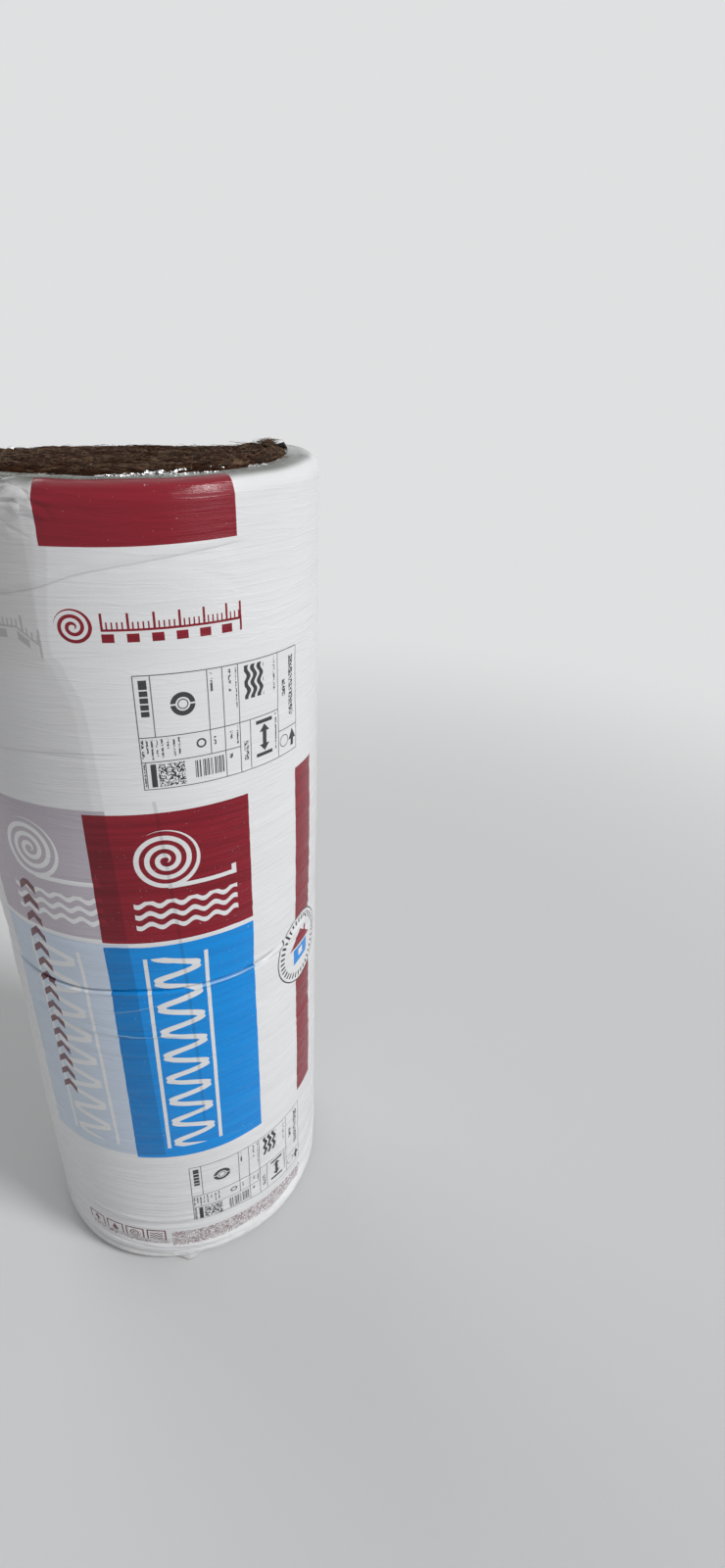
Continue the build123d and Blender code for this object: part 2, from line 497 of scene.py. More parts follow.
# Loose fibres on the open end. Each is a thin three-sided strand: a line along its turn, bent to a side
# and arched up, with a little curl. Tufts stand where the wool is torn, near the rim at the right.
def buildFibres():
    random = np.random.default_rng(8)
    count = fibres["count"] + fibres["tufted"]
    tufted = np.arange(count) >= fibres["count"]
    angle = random.uniform(-math.pi, math.pi, count)
    radius = np.sqrt(random.uniform(0.01, 1, count)) * fibres["reach"]
    tuft = random.integers(0, fibres["tufts"], count)
    tuftAngle = np.random.default_rng(9).uniform(*fibres["tuftAngles"], fibres["tufts"])
    angle = np.where(tufted, tuftAngle[tuft] + random.normal(0, 0.035, count), angle)
    radius = np.where(tufted, rimEdge(angle) - 5 - np.abs(random.normal(0, 5, count)), radius)
    radius = np.minimum(radius, rimEdge(angle) - 2)
    length = random.uniform(*fibres["length"], count) * np.where(tufted, 0.55, 1)
    heading = angle + random.normal(0, 0.55, count) + np.where(random.random(count) < 0.5, 0, math.pi)
    steep = np.abs(random.normal(0, 0.22, count)) + np.where(tufted, random.uniform(0.2, 0.9, count), 0)
    steps = fibres["steps"]
    share = np.linspace(0, 1, steps + 1)[:, None]
    bend = random.normal(0, fibres["bend"], count) * length
    curl = fibres["curl"] * np.sin(share * random.uniform(4, 12, count) + random.uniform(0, 6, count))
    aside = bend * share * share + curl
    forward = share * length
    rise = length * steep * (share - 0.65 * share * share) + curl * share
    x = radius * np.sin(angle) + forward * np.cos(heading) - aside * np.sin(heading)
    y = -radius * np.cos(angle) + forward * np.sin(heading) + aside * np.cos(heading)
    woolBelow = woolTop(np.arctan2(x, -y), np.clip(np.hypot(x, y), roll["eye"] + 2, 215))
    lowest = woolBelow - 0.6 + 1.4 * share * np.minimum(steep * 3, 1)
    z = np.maximum(woolTop(angle, radius) - 0.8 + rise, lowest)
    thick = (fibres["thickness"] * random.uniform(0.6, 1.3, count) * (1 - 0.6 * share))[..., None]
    corners = np.arange(3) * 2 * math.pi / 3
    spread = thick * np.cos(corners)
    points = np.stack([
        x[..., None] - spread * np.sin(heading)[:, None],
        y[..., None] + spread * np.cos(heading)[:, None],
        z[..., None] + thick * np.sin(corners),
    ], -1)
    points = points.transpose(1, 0, 2, 3).reshape(-1, 3)
    strand, step, corner = np.indices((count, steps, 3))
    base = (strand * (steps + 1) + step) * 3
    nextCorner = (corner + 1) % 3
    sides = np.stack([base + corner, base + nextCorner, base + 3 + nextCorner, base + 3 + corner], -1)
    first = (np.arange(count) * (steps + 1) * 3)[:, None]
    caps = np.concatenate([first + np.array([2, 1, 0]), first + steps * 3 + np.array([0, 1, 2])])
    mesh = bpy.data.meshes.new("woolFibresUpper")
    mesh.from_pydata((points * mm).tolist(), [], sides.reshape(-1, 4).tolist() + caps.tolist())
    mesh.polygons.foreach_set("use_smooth", np.full(len(mesh.polygons), True))
    mesh.update()
    return linked("woolFibresUpper", mesh)


woolFibresUpper = buildFibres()

# Foil facing

foil = {
    "columns": 720,
    "rows": 16,
    "outerGap": 18.0,
    "peek": (2.0, 16.0),  # how far it shows past the film, at the back and where the front is bared
    "ragged": ((0.8, 1, 32, 91), (0.5, 1, 96, 92)),
    "crinkle": 4.8,
    "skinGap": 7.2,
    "skinEnd": 24.0,
    "wall": 0.15,
    "ribbonSteps": 2300,
    "ribbonLow": -8.0,
    "ribbonHigh": -0.5,
    "ribbonRagged": ((1.4, 1, 160, 98), (0.8, 1, 600, 99)),
}


# Thin closed shell from a face and the same face moved by an offset.
def thinShell(name, face, offset, flip=False, ring=True):
    both = np.concatenate([face, (face + offset)[::-1]])
    return gridMesh(name, both, ring=ring, flip=flip, flat=True)


# Crinkled band between wool and film at one end: round the shoulder and in over the end a little past
# the film's edge. Sharp creases, the folded value of coarse and fine noise, grow to its free edge.
def foilRim(top):
    angle = ringAngles(foil["columns"])
    across = angle / (2 * math.pi)
    arc = angle * roll["radius"]
    share = np.linspace(0, 1, foil["rows"])[:, None]
    edge = rimEdge(angle) if top else roll["radius"] - film["lowerRim"]
    bared = smooth(-60, 40, arc) * (1 - smooth(120, 190, arc))
    ragged = 0.7 + layered(across, 0, foil["ragged"])
    peek = blend(*foil["peek"], bared) * ragged
    radius = blend(roll["radius"] - foil["outerGap"], edge - peek, share)
    fall = shoulderFall(radius)
    free = smooth(0.4, 1.0, share)
    sharp = 0.5 - np.abs(lattice(across, share * 8 + arc / 14, 60, 93))
    sharp = sharp + 0.8 * (0.5 - np.abs(lattice(across, share * 12 - arc / 11, 110, 94)))
    lay = free * (0.8 + foil["crinkle"] * sharp * (0.35 + bared)) - 1.4 - fall
    radius = radius + free * 1.6 * lattice(across, share * 4, 120, 95)
    height = roll["height"] + lay + topLift(angle, radius) if top else 0.6 - 0.5 * np.minimum(lay, 0)
    offset = np.array([0, 0, -foil["wall"] if top else foil["wall"]])
    return thinShell("foilRim", ringPoints(angle, radius, height), offset, flip=not top)


# Plain part of the facing, up the side between wool and film.
def foilSkin(top):
    half = roll["height"] / 2
    ends = (half, roll["height"] - foil["skinEnd"]) if top else (foil["skinEnd"], half)
    face = ringPoints(ringAngles(120), roll["radius"] - foil["skinGap"], np.linspace(*ends, 12)[:, None])
    shrunk = -foil["wall"] / roll["radius"]
    return thinShell("foilSkin", face, face * np.array([shrunk, shrunk, 0]))


# The facing's edge between the turns: a ribbon on the winding's spiral, wavy and ragged, sunk between
# the crowns of the wool.
def foilTurns(top):
    wound = np.linspace(0.05, roll["turns"] - 1.35, foil["ribbonSteps"])[None, :]
    angle = wound * 2 * math.pi - math.pi
    across = wound / roll["turns"]
    share = np.array([0, 0.5, 1.0])[:, None]
    wave = 1.1 * lattice(across, 0, 90, 96) + 0.6 * lattice(across, share * 2, 420, 97)
    radius = roll["eye"] + roll["pitch"] * (wound + 0.5) + wave * (0.3 + share)
    ragged = layered(across, 0, foil["ribbonRagged"])
    lay = blend(foil["ribbonLow"], foil["ribbonHigh"] + ragged, share)
    height = np.maximum(0.3, 0.6 - lay)
    if top:
        height = roll["height"] + lay + topLift(angle, radius) + woolSettled(angle, radius)
    face = ringPoints(angle, radius, height)
    inner = ringPoints(angle, radius - foil["wall"], height)
    ribbon = thinShell("foilTurns", face, inner - face, flip=not top, ring=False)
    shape = bmesh.new()
    shape.from_mesh(ribbon.data)
    bmesh.ops.holes_fill(shape, edges=[edge for edge in shape.edges if edge.is_boundary])
    shape.to_mesh(ribbon.data)
    shape.free()
    return ribbon


print("building the foil")
foilUpper = joined("foilFacingUpper", [foilRim(True), foilSkin(True), foilTurns(True)])
foilLower = joined("foilFacingLower", [foilRim(False), foilSkin(False), foilTurns(False)])


# What an operator between values does: adds a Math node for its operation.
def mathNode(operation):
    return lambda self, other: self.do(operation, other)


# A socket that adds nodes when it is used in an expression.
class Value:
    def __init__(self, tree, socket):
        self.tree = tree
        self.socket = socket

    def do(self, operation, *others):
        return self.tree.add("Math", {"operation": operation}, [self, *others])

    __add__ = mathNode("ADD")
    __radd__ = mathNode("ADD")
    __sub__ = mathNode("SUBTRACT")
    __mul__ = mathNode("MULTIPLY")
    __rmul__ = mathNode("MULTIPLY")
    __truediv__ = mathNode("DIVIDE")
    __mod__ = mathNode("FLOORED_MODULO")
    __pow__ = mathNode("POWER")
    __lt__ = mathNode("LESS_THAN")
    __gt__ = mathNode("GREATER_THAN")
    __or__ = mathNode("MAXIMUM")

    def __rsub__(self, other):
        return self.tree.add("Math", {"operation": "SUBTRACT"}, [other, self])

    def __abs__(self):
        return self.do("ABSOLUTE")

    # 1 between low and high.
    def span(self, low, high):
        return self.do("COMPARE", (low + high) / 2, (high - low) / 2)

    # The fraction left over a whole number of steps.
    def cell(self, step):
        return (self / step).do("FRACT")

    # Sine of this place, which comes round again after a length.
    def wave(self, length):
        return (self * (2 * math.pi / length)).do("SINE")

    # Smoothstep from 0 at one value to 1 at another.
    def ramped(self, low, high):
        return self.tree.add("MapRange", {"interpolation_type": "SMOOTHSTEP"}, [self, low, high])

    # Height, at this arc, of a path through the given places, which a curve node holds in a unit square.
    def path(self, places):
        arcs, heights = zip(*places)
        low = min(heights) - 1
        span = max(heights) + 1 - low
        width = arcs[-1] - arcs[0]
        unit = [((arc - arcs[0]) / width, (height - low) / span) for arc, height in places]
        along = (self - arcs[0]) / width
        return self.tree.add("FloatCurve", {"places": unit}, [1.0, along]) * span + low

    # Another output of the same node.
    def also(self, output):
        return Value(self.tree, self.socket.node.outputs[output])

    def vector(self, operation, *others, output=0):
        return self.tree.add("VectorMath", {"operation": operation}, [self, *others], output)

    def noise(self, factors, detail=3.0, roughness=0.5):
        scaled = self.vector("MULTIPLY", factors)
        inputs = {"Vector": scaled, "Scale": 1.0, "Detail": detail, "Roughness": roughness}
        return self.tree.add("TexNoise", {}, inputs)

    # This place scaled and then pushed about by a noise.
    def bent(self, factors, push, pushFactors):
        return self.vector("MULTIPLY", factors).vector("ADD", push.vector("MULTIPLY", pushFactors))

    # Distance to the borders of cells, which reads as creases.
    def creased(self, scale):
        inputs = {"Vector": self, "Scale": scale}
        return self.tree.add("TexVoronoi", {"feature": "DISTANCE_TO_EDGE"}, inputs)


# The nodes of a material or of the world.
class Tree:
    def __init__(self, owner):
        self.owner = owner
        owner.use_nodes = True
        self.nodes = owner.node_tree.nodes
        self.links = owner.node_tree.links
        self.nodes.clear()

    # A node of any type: its settings first, then values or links for its sockets by name or place. A
    # ramp's stops and a curve's places are settings too.
    def add(self, kind, settings={}, inputs={}, output=0):
        node = self.nodes.new("ShaderNode" + kind)
        for key, value in settings.items():
            if key == "stops":
                ramp = node.color_ramp.elements
                while len(ramp) < len(value):
                    ramp.new(1.0)
                for stop, (place, colour) in zip(ramp, value):
                    stop.position = place
                    stop.color = (*colour, 1)
            elif key == "places":
                points = node.mapping.curves[0].points
                points[0].location = value[0]
                points[1].location = value[-1]
                for place in value[1:-1]:
                    points.new(*place)
                node.mapping.update()
            else:
                setattr(node, key, value)
        for key, value in enumerate(inputs) if isinstance(inputs, list) else inputs.items():
            socket = node.inputs[key]
            if isinstance(value, Value):
                self.links.new(value.socket, socket)
            else:
                socket.default_value = (*value, 1) if socket.type == "RGBA" else value
        return Value(self, node.outputs[output]) if node.outputs else None

    # The place on the piece, in metres.
    def place(self):
        return self.add("TexCoord", output=3)

    # The place on the flat sheet of a piece, in metres.
    def flatPlace(self):
        return self.add("UVMap", {"uv_map": "flat"})

    def mix(self, below, above, share, kind="MIX"):
        settings = {"data_type": "RGBA", "blend_type": kind}
        return self.add("Mix", settings, {0: share, 6: below, 7: above}, 2)

    # 1 where the camera, a reflection or a clear piece sees what is drawn.
    def seen(self):
        path = self.add("LightPath")
        return path | (path.also("Is Glossy Ray") | path.also("Is Transmission Ray"))

    def surface(self, height, strength, distance, inputs):
        bump = {"Strength": strength, "Distance": distance, "Height": height}
        shader = self.add("BsdfPrincipled", {}, {**inputs, "Normal": self.add("Bump", {}, bump)})
        self.add("OutputMaterial", {}, {"Surface": shader})
        return self.owner


# Drawing by masks of 0 and 1 over arc x and height z

# Union of boxes, each (left, right, low, high).
def boxes(x, z, corners):
    drawn = None
    for left, right, low, high in corners:
        one = x.span(left, right) * z.span(low, high)
        drawn = one if drawn is None else drawn | one
    return drawn


def distanceTo(x, z, place):
    return ((x - place[0]) ** 2 + (z - place[1]) ** 2) ** 0.5


# Turn round a place, from -0.5 to 0.5.
def turnAbout(x, z, place):
    return (z - place[1]).do("ARCTAN2", x - place[0]) / (2 * math.pi)


# Spiral stripe, half as wide as its pitch: the distance from the middle in pitches, less the turn's share,
# modulo 1.
def coil(x, z, place, radius, pitch):
    away = distanceTo(x, z, place)
    return ((away / pitch - turnAbout(x, z, place)).cell(1) < 0.5) * away.span(pitch * 0.3, radius)


# A random number from 0 to 1 for each cell of a grid.
def speckle(x, z, width, height):
    corner = [(x / width).do("FLOOR"), (z / height).do("FLOOR"), 0.0]
    cell = x.tree.add("CombineXYZ", {}, corner)
    return x.tree.add("TexWhiteNoise", {"noise_dimensions": "2D"}, {"Vector": cell})


# Triangle pointing up: as wide at each height as its distance from the tip allows.
def triangle(x, z, tip, height, halfWidth):
    below = tip[1] - z
    return (abs(x - tip[0]) < below * (halfWidth / height)) * below.span(0, height)


printed = {
    "headBlock": (-92.5, 96.5, 1142.5, 1206.0),
    "middleBlock": (-94.0, 97.0, 672.0, 853.0),
    "blueBlock": (-94.0, 97.0, 266.5, 665.0),
    "strip": (182.0, 228.0, 260.0, 854.0),
    "hatchMiddle": -8.0,
    "hatchSpan": (286.0, 646.0),
    "hatchSwing": 24.0,
    "hatchStep": 44.0,
    "hatchHalf": 4.8,
    "matCoil": (-8.0, 790.0),
    "matLeft": -50.0,
    "matRight": 76.0,
    "scaleLeft": -46.0,
    "scaleRight": 98.0,
    "scaleLow": 1049.0,
    "chevrons": -190.0,
    "stamp": (197.0, 555.0),
    "stampRadius": 58.0,
    "signs": (-207.0, 59.0),
    "signStep": 35.6,
    "under": (-150.0, 5.0),  # how far off the same print lies on the layer below
    "underLean": -0.027,
    "underScale": -204.0,
    # Where the layer above ends, as height and arc
    "layerEdge": ((780, -62), (865, -67), (955, -70), (983, -72.5), (1000, -79), (1028, -89),
                  (1040, -96.5), (1072, -94), (1137, -85), (1210, -80)),
}


# White insulation hatch down the blue block: a sine stripe of even width between two lines.
def hatch(x, z):
    middle = printed["hatchMiddle"]
    swing = printed["hatchSwing"]
    phase = z * (2 * math.pi / printed["hatchStep"])
    slope = phase.do("COSINE") * (swing * 2 * math.pi / printed["hatchStep"])
    away = abs(x - middle - phase.do("SINE") * swing) / (slope * slope + 1) ** 0.5
    wave = (away < printed["hatchHalf"]) * boxes(x, z, [(middle - 30, middle + 30, *printed["hatchSpan"])])
    sides = [(middle + side - 2.5, middle + side + 2.5, *printed["hatchSpan"]) for side in (-37.5, 37.5)]
    return wave | boxes(x, z, sides)


# White mat rolling up on the maroon block, with three wavy layers below it.
def rollingMat(x, z):
    place = printed["matCoil"]
    right = printed["matRight"]
    low = place[1] - 40.5
    layers = ((z + x.wave(26) * 3.2 - 694) / 16).cell(1) < 0.44
    laid = boxes(x, z, [(place[0], right, low, low + 6), (right - 6, right, low, low + 14.5)])
    rolled = coil(x, z, place, 40, 12) | laid
    return rolled | layers * boxes(x, z, [(printed["matLeft"], right, 690, 734)])


# The colour blocks of one layer of film, without what is left white in them.
def blocks(x, z):
    maroon = boxes(x, z, [printed["middleBlock"]]) * (1 - rollingMat(x, z))
    blue = boxes(x, z, [printed["blueBlock"]]) * (1 - hatch(x, z))
    return maroon, blue


# Measuring scale with a coil at its left end: fine and coarse strokes over a chequered bar.
def scaleBar(x, z):
    left = printed["scaleLeft"]
    right = printed["scaleRight"]
    along = x - left
    v = z - printed["scaleLow"]
    strokes = (along.cell(5) < 0.32) * v.span(13, 21) | (along.cell(25) < 0.10) * v.span(13, 30)
    ruled = (strokes | (along.cell(24) < 0.5) * v.span(0, 9)) * x.span(left, right)
    lines = boxes(x, v, [(left, right, 11.5, 14), (right - 2.5, right, 0, 30)])
    return ruled | lines | coil(x, v, (left - 26, 16), 18.5, 7.4)


# Column of chevrons pointing up the side.
def chevrons(x, z):
    middle = printed["chevrons"]
    slanted = z + abs(x - middle) * 0.9 - 362
    return (slanted.cell(25) < 0.45) * boxes(x, z, [(middle - 13, middle + 13, 372, 745)])


# The label stands once in each half of the pack. Places are in millimetres from its lower edge.
labelSheet = {
    "step": 780.0,
    "low": 102.5,
    "bounds": (-23, 185, 0, 132),
    # An upright line's arc and its ends, then a level line's height and its ends
    "upright": ((-22, 0, 131), (-5, 62.5, 131), (53.8, 33.5, 131), (71, 0, 131), (90, 0, 131),
                (104, 2, 62.5), (148, 0, 131), (184, 0, 131), (-18, 2, 33)),
    "level": ((131, -22, 184), (0.5, -22, 184), (62.5, -22, 148), (33.5, -22, 90), (33.5, 148, 184)),
    "lines": ((57, 59.5, 106, 127), (78, 81, 102, 127), (86.5, 88, 82, 128), (140.5, 143, 88, 128),
              (169, 177, 48, 122), (156, 162, 76, 96), (-20.5, -18, 38, 60), (-15.5, -13.5, 44, 60),
              (-10.5, -8.5, 36, 60), (-5.5, -3.5, 40, 60), (0, 2, 38, 60), (6, 8, 48, 60),
              (12.5, 14.5, 38, 58), (18, 20, 40, 60), (57.5, 60, 44, 54), (77, 80, 46, 56),
              (85.5, 87.5, 38, 60), (95, 101, 14, 38), (142, 144, 14, 60), (-20.5, -19, 4, 32),
              (75, 80, 22, 28)),
    "solid": ((-13.5, -7.5, 3, 31), (-17, -8.5, 86, 92), (-17, -8.5, 93.5, 99.5), (-17, -8.5, 101, 107),
              (-17, -8.5, 108.5, 114.5), (-17, -8.5, 116, 126), (172, 177.5, 7, 18)),
    "rings": (((26.3, 97), 4.6, 5.8), ((158.5, 18.5), 7.0, 8.0), ((43, 49), 3.6, 5.6)),
}


# Double arrow between two bars, for a thickness.
def gapArrow(x, v):
    fromMiddle = abs(v - 35)
    heads = (abs(x - 124.5) < (17 - fromMiddle) * 0.85) * fromMiddle.span(8, 17)
    return heads | boxes(x, v, [(112, 137, 12, 16.5), (112, 137, 53.5, 58), (121.5, 127.5, 25, 45)])


# Ruled table with plain signs and lines of grain too small to read.
def label(x, z):
    v = (z - labelSheet["low"]) % labelSheet["step"]
    rules = [(at - 0.6, at + 0.6, low, high) for at, low, high in labelSheet["upright"]]
    rules += [(left, right, at - 0.6, at + 0.6) for at, left, right in labelSheet["level"]]
    lines = boxes(x, v, labelSheet["lines"]) * (speckle(x, v, 1.5, 1.3) > 0.35)
    heat = ((x - 99 + v.wave(17) * 2.0).cell(9) < 0.62) * boxes(x, v, [(98, 125, 88, 127)])
    dots = (speckle(x, v, 1.2, 1.2) > 0.5) * boxes(x, v, [(-5.5, 23.3, 3, 30.6)])
    stripes = (speckle(x, v, 0.8, 1000) > 0.48) * boxes(x, v, [(34, 68, 8, 29)])
    seal = distanceTo(x, v, (26.3, 97)).span(7.7, 13.2) * (abs(v - 97) > 0.9)
    drawn = boxes(x, v, rules) * 0.85 | lines * 0.95 | heat | gapArrow(x, v) | dots | stripes | seal
    drawn = drawn | boxes(x, v, labelSheet["solid"]) | triangle(x, v, (174.75, 30), 14, 7.5)
    for place, inner, outer in labelSheet["rings"]:
        drawn = drawn | distanceTo(x, v, place).span(inner, outer)
    return drawn * boxes(x, v, [labelSheet["bounds"]])


# Round stamp: white disc with a thin ring, a circle of dial strokes and a plain house. Gives the disc, its
# black, its maroon and its blue.
def stamp(x, z):
    place = printed["stamp"]
    reach = printed["stampRadius"]
    away = distanceTo(x, z, place)
    strokes = (turnAbout(x, z, place).cell(1 / 36) < 0.42) * away.span(reach - 15, reach - 6)
    u = x - place[0]
    v = z - place[1]
    walls = boxes(u, v, [(-20, 20, -24, 3)]) * (1 - boxes(u, v, [(-6, 6, -15, -3)]))
    roof = triangle(u, v, (0, 31), 25, 30) | boxes(u, v, [(12, 18, 8, 29)])
    return away < reach, away.span(reach - 2.1, reach) | strokes, roof, walls


# Row of framed signs near the foot: arrow, drop, coil and layers.
def signRow(x, z):
    along = x - printed["signs"][0]
    u = along % printed["signStep"]
    v = z - printed["signs"][1]
    number = (along / printed["signStep"]).do("FLOOR")
    drawn = boxes(u, v, [(0, 31, 0, 27)]) * (1 - boxes(u, v, [(2.4, 28.6, 2.4, 24.6)]))
    signs = (
        boxes(u, v, [(13.7, 17.3, 5, 14)]) | triangle(u, v, (15.5, 23), 10, 7),
        (distanceTo(u, v, (15.5, 10)) < 5.6) | triangle(u, v, (15.5, 22.5), 10.5, 5),
        coil(u, v, (15.5, 13.5), 9.5, 4.4),
        ((v + u.wave(9) * 1.2).cell(5.5) < 0.45) * boxes(u, v, [(5, 26, 5, 22)]),
    )
    for place, sign in enumerate(signs):
        drawn = drawn | sign * number.span(place - 0.5, place + 0.5)
    return drawn * boxes(along, v, [(-1, 141, -1, 28)])


# Lines beside the signs, broken up by grain so that they look like small print.
def footLines(x, z):
    lines = (z.cell(2.5) < 0.72) * (speckle(x, z, 1.4, 2.5) > 0.22)
    uneven = speckle(x, z, 3.2, 4.0) * 0.6 + 0.4
    return lines * uneven * boxes(x, z, [(-60, 186, 46, 82), (-205, -66, 49, 56)])


# Sharp lines of the creases, grooves and ridges apart, each falling off evenly from its path: masks for the
# painted shade in the grooves, where the film also lies doubled, and for the painted highlight on the
# ridges.
# The bump uses them too.
def creaseLines(x, z):
    shadedGrooves = 0.0
    highlightedRidges = 0.0
    for _, _, _, _, paintedStrength, *places in creases:
        if not paintedStrength:
            continue
        arcs = [arc for arc, height in places]
        away = abs(z - x.path(places))
        fade = x.ramped(arcs[0], arcs[1]) * x.ramped(arcs[-1], arcs[-2])
        line = ((1 - away / 1.7) | 0) * fade * abs(paintedStrength)
        if paintedStrength > 0:
            shadedGrooves = line | shadedGrooves
        else:
            highlightedRidges = line | highlightedRidges
    return shadedGrooves, highlightedRidges


filmLook = {
    # Each of these from its dull to its bright tone; on the maroon and the blue the bright tone is a painted
    # sheen
    "white": ((0.67, 0.67, 0.68), (0.71, 0.715, 0.725)),
    "maroon": ((0.176, 0.005, 0.014), (0.232, 0.008, 0.020)),
    "blue": ((0.0003, 0.208, 0.610), (0.0003, 0.245, 0.680)),
    "overFoil": ((0.10, 0.108, 0.096), (0.25, 0.26, 0.245)),
    "black": (0.020, 0.020, 0.024),
    "chevrons": (0.120, 0.022, 0.034),
    "faded": (0.15, 0.05, 0.06),  # the rows near the foot
    # painted shade along the creases' grooves, where the film also lies doubled; also the darker tone where
    # print lies over print below
    "groove": (0.0, 0.0, 0.0),
    # painted highlight along the creases' ridges
    "ridge": (0.58, 0.80, 0.92),
    "grime": (0.55, 0.53, 0.50),
    # How what lies below tints the white above it
    "doubled": (0.85, 0.845, 0.845),
    "further": (0.91, 0.905, 0.90),
    "underMaroon": (0.63, 0.57, 0.63),
    "underBlue": (0.72, 0.82, 0.95),
    "underScale": (0.72, 0.70, 0.71),
}


# White of the film: darker where two and three layers lie, whose edges run down it, and tinted by the
# print of the layer below.
def filmWhite(tree, x, z, clouds, underMaroon, underBlue):
    edge = z.path(printed["layerEdge"]) - x
    doubled = edge.ramped(-1, 3) * 0.6 + (edge - 11).ramped(-1, 5) * 0.4
    bent = z + ((x + 130) | 0) * 0.8
    tints = {
        "doubled": doubled * z.ramped(790, 880) * x.ramped(-520, -230),
        "further": (-105 - x).ramped(-1, 3) * z.ramped(1000, 1050) * x.ramped(-420, -230),
        "underMaroon": underMaroon,
        "underBlue": underBlue,
        "underScale": scaleBar(x - printed["underScale"], bent) * (x < -104),
    }
    white = tree.mix(*filmLook["white"], clouds * 1.6 - 0.3)
    for name, share in tints.items():
        white = tree.mix(white, filmLook[name], share, "MULTIPLY")
    return white


# Height for the bump: hoops, grain, creased folds at the crumples and the foot, thin lines along the hoops,
# and pleats on the film turned in over the ends. The drawn creases are added where it is used.
def filmHeight(x, z, place, clouds, pulled, hoops):
    grain = place.noise((420.0, 420.0, 1500.0), 2.0)
    folds = place.bent((38.0, 38.0, 70.0), clouds, (2.0, 2.0, 3.0)).creased(1.0)
    crumpled = x.ramped(-50, -110) * z.ramped(1140, 1175) * x.ramped(-330, -220)
    crumpled = crumpled | z.ramped(62, 20) * 0.5
    lines = (1 - abs(pulled.noise((0.8, 0.8, 0.34), 2.0) - 0.5) * 26) | 0
    strong = z.ramped(320, 130) * 0.7 + z.ramped(1000, 700) * 0.30 + 0.40
    around = place.vector("MULTIPLY", (1, 1, 0)).vector("NORMALIZE")
    onEnd = z.ramped(1203, 1212) | z.ramped(2, -8)
    pleats = around.noise((26, 26, 1), 3.0, 0.65) * onEnd
    return hoops * strong + grain * 0.10 + folds * crumpled * 3.6 + lines * clouds * 0.22 + pleats * 7.0


# White film with printed blocks. The print of the layer below shows through, and the film over the
# ends looks grey where the foil is behind it.
def filmMaterial():
    tree = Tree(bpy.data.materials.new("printedFilm"))
    place = tree.place()
    split = tree.add("SeparateXYZ", {}, [tree.flatPlace()])
    x = split * 1000
    z = split.also(1) * 1000
    shadedGrooves, highlightedRidges = creaseLines(x, z)
    z = z - x * 0.012 * z.ramped(1010, 1140) * abs(x).ramped(420, 200)
    z = z + ((x - 60) | 0) * 0.085 * z.ramped(250, 150) * x.ramped(420, 230)
    clouds = place.noise((7.0, 7.0, 11.0))
    pulled = place.bent((8.0, 8.0, 230.0), clouds, (0.6, 0.6, 2.2))
    hoops = pulled.noise((1, 1, 1), 4.0, 0.62)

    underX = x - (z - 300) * printed["underLean"] - printed["under"][0]
    underMaroon, underBlue = blocks(underX, z - printed["under"][1])
    maroon, blue = blocks(x, z)
    disc, ink, roof, walls = stamp(x, z)
    maroon = maroon | boxes(x, z, [printed["headBlock"], printed["strip"]]) | scaleBar(x, z)
    maroon = maroon * (1 - disc) | roof
    blue = blue | walls
    fresh = 1 - (place.noise((260.0, 260.0, 420.0), 2.0) > 0.735) * 0.33
    # Painted sheen on the inks: lighter along the hoops that the bump draws, and towards the head
    sheenStreaks = hoops.ramped(0.36, 0.60) | z.ramped(1050, 1130) * 0.6
    innerEnd = abs(x - 8 + ((z - 330) / 538) ** 2 * 22) < 2.1
    overlap = (underMaroon | underBlue) * (maroon | blue) * 0.27
    overlap = overlap | innerEnd * z.span(330, 868) * 0.2
    flap = abs(x - 345).ramped(85, 40) * 0.45
    turnedIn = z.ramped(1193, 1203) * (1 - flap) | z.ramped(-8, -20)
    glazed = place.noise((34.0, 34.0, 60.0), 4.0, 0.6)
    grime = z + place.noise((18.0, 18.0, 25.0)) * 60

    colour = filmWhite(tree, x, z, clouds, underMaroon, underBlue)
    # Each covers what stands before it
    for above, share in (
        (tree.mix(*filmLook["maroon"], sheenStreaks), maroon * fresh),
        (tree.mix(*filmLook["blue"], sheenStreaks), blue * fresh),
        (filmLook["chevrons"], chevrons(x, z) * 0.93),
        (filmLook["black"], (label(x, z) | ink) * 0.96),
        (filmLook["faded"], signRow(x, z) | footLines(x, z)),
        # painted shade in the creases' grooves, over the darker overlap of printed layers
        (filmLook["groove"], overlap | shadedGrooves * 0.30),
        # painted highlight on the creases' ridges
        (filmLook["ridge"], highlightedRidges * 0.5),
        (tree.mix(*filmLook["overFoil"], glazed), turnedIn * (1 - maroon * 0.85)),
        (filmLook["grime"], grime.ramped(75, 25) * 0.28),
    ):
        colour = tree.mix(colour, above, share)
    height = filmHeight(x, z, place, clouds, pulled, hoops) + highlightedRidges * 0.55 - shadedGrooves * 0.65
    return tree.surface(height, 0.85, 0.0018, {
        "Base Color": colour,
        "Roughness": hoops * 0.18 + 0.15 - (maroon | blue) * 0.05,
        "IOR": 1.48,
        "Specular IOR Level": 0.30,
    })


# Tones from the painted shade between the fibres to the painted highlight where they catch the light
woolTones = [
    (0.42, (0.006, 0.003, 0.002)),
    (0.54, (0.024, 0.010, 0.0055)),
    (0.64, (0.062, 0.028, 0.0145)),
    (0.78, (0.200, 0.104, 0.055)),
]


